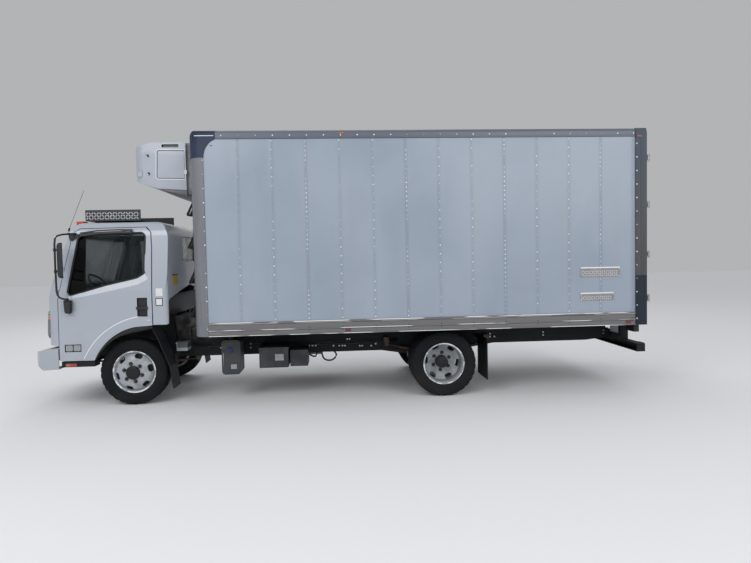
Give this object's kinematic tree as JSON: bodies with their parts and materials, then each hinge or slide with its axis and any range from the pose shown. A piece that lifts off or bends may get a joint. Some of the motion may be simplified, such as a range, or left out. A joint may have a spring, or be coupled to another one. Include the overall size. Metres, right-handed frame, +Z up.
{
  "type": "refrigerated box truck with a tilting forward-control cab",
  "caption": "Two-axle refrigerated delivery truck: tilting cab, insulated box with rear doors and a nose-mounted cooling unit.",
  "frame": {"origin": "On the ground, on the middle plane, half way between the front bumper and the rear dock buffers", "axes": "+X to the rear of the truck, +Y to its right-hand side as the driver faces forward, +Z up"},
  "size_m": [7.5348, 2.55, 3.27],
  "materials": {
    "white_paint": "glossy",
    "box_skin": "glossy",
    "brushed_aluminium": "brushed",
    "corner_paint": "satin",
    "frame_black": "satin",
    "rubber": "matte",
    "wheel_paint": "satin",
    "unit_shell": "satin",
    "dark_plastic": "satin",
    "glass": "glossy",
    "lamp_lens": "glossy",
    "seat_fabric": "matte",
    "bare_steel": "satin",
    "tank_grey": "satin"
  },
  "bodies": {
    "chassis": {"battery_box": "dark_plastic", "box_corners": "brushed_aluminium", "box_floor": "brushed_aluminium", "box_rails": "brushed_aluminium", "box_roof": "box_skin", "box_sills": "frame_black", "box_wall_front": "box_skin", "box_wall_left": "box_skin", "box_wall_right": "box_skin", "cab_steps": "dark_plastic", "corner_caps": "corner_paint", "crossmembers": "frame_black", "drive_shaft": "bare_steel", "engine_block": "bare_steel", "evaporator": "unit_shell", "exhaust": "bare_steel", "frame_rails": "frame_black", "front_axle": "frame_black", "front_bumper": "white_paint", "leaf_springs": "frame_black", "mud_flaps": "rubber", "rear_axle": "frame_black", "rear_bumper": "frame_black", "rear_header_sill": "brushed_aluminium", "rear_lamps": "lamp_lens", "rear_posts": "brushed_aluminium", "side_tanks": "tank_grey", "unit_frame": "dark_plastic", "unit_housing": "unit_shell", "wall_steps": "bare_steel"},
    "cab": {"cab_roof": "white_paint", "cab_rear": "white_paint", "cab_glass": "glass", "cab_front": "white_paint", "cab_lamps": "lamp_lens", "cab_floor": "dark_plastic", "cab_seats": "seat_fabric", "dashboard": "dark_plastic", "roof_tray": "brushed_aluminium"},
    "door_left": {"cab_door_left": "white_paint", "door_glass_left": "glass"},
    "door_right": {"cab_door_right": "white_paint", "door_glass_right": "glass"},
    "knuckle_left": {"knuckle_left": "frame_black"},
    "knuckle_right": {"knuckle_right": "frame_black"},
    "tie_rod": {"tie_rod": "bare_steel"},
    "wheel_front_left": {"wheel_front_left": "wheel_paint", "tyre_front_left": "rubber"},
    "wheel_front_right": {"wheel_front_right": "wheel_paint", "tyre_front_right": "rubber"},
    "wheels_rear_left": {"wheels_rear_left": "wheel_paint", "tyres_rear_left": "rubber"},
    "wheels_rear_right": {"wheels_rear_right": "wheel_paint", "tyres_rear_right": "rubber"},
    "rear_door_left": {"rear_door_left": "box_skin"},
    "rear_door_right": {"rear_door_right": "box_skin"}
  },
  "joints": [
    {"name": "cab_tilt", "type": "hinge", "parent": "chassis", "child": "cab", "pos_m": [-3.567, 0, 0.69], "axis": [0, -1, 0], "range_deg": [0, 45]},
    {"name": "door_left_swing", "type": "hinge", "parent": "cab", "child": "door_left", "pos_m": [-3.417, -1.022, 1.2], "axis": [0, 0, -1], "range_deg": [0, 70]},
    {"name": "door_right_swing", "type": "hinge", "parent": "cab", "child": "door_right", "pos_m": [-3.417, 1.022, 1.2], "axis": [0, 0, 1], "range_deg": [0, 70]},
    {"name": "steer_left", "type": "hinge", "parent": "chassis", "child": "knuckle_left", "pos_m": [-2.617, -0.765, 0.4055], "axis": [0, 0, 1], "range_deg": [-38, 38]},
    {"name": "steer_right", "type": "hinge", "parent": "chassis", "child": "knuckle_right", "pos_m": [-2.617, 0.765, 0.4055], "axis": [0, 0, 1], "range_deg": [-38, 38]},
    {"name": "tie_rod_pivot", "type": "hinge", "parent": "knuckle_left", "child": "tie_rod", "pos_m": [-2.467, -0.765, 0.292], "axis": [0, 0, 1], "range_deg": [-38, 38]},
    {"name": "wheel_front_left_spin", "type": "hinge", "parent": "knuckle_left", "child": "wheel_front_left", "pos_m": [-2.617, -0.8275, 0.4055], "axis": [0, 1, 0], "continuous": true},
    {"name": "wheel_front_right_spin", "type": "hinge", "parent": "knuckle_right", "child": "wheel_front_right", "pos_m": [-2.617, 0.8275, 0.4055], "axis": [0, 1, 0], "continuous": true},
    {"name": "wheels_rear_left_spin", "type": "hinge", "parent": "chassis", "child": "wheels_rear_left", "pos_m": [1.193, -0.825, 0.4055], "axis": [0, 1, 0], "continuous": true},
    {"name": "wheels_rear_right_spin", "type": "hinge", "parent": "chassis", "child": "wheels_rear_right", "pos_m": [1.193, 0.825, 0.4055], "axis": [0, 1, 0], "continuous": true},
    {"name": "rear_door_left_swing", "type": "hinge", "parent": "chassis", "child": "rear_door_left", "pos_m": [3.728, -1.225, 2], "axis": [0, 0, -1], "range_deg": [0, 255]},
    {"name": "rear_door_right_swing", "type": "hinge", "parent": "chassis", "child": "rear_door_right", "pos_m": [3.728, 1.225, 2], "axis": [0, 0, 1], "range_deg": [0, 255]}
  ],
  "couplings": [
    {"joint": "steer_right", "follows": "steer_left", "ratio": 1},
    {"joint": "tie_rod_pivot", "follows": "steer_left", "ratio": -1}
  ]
}
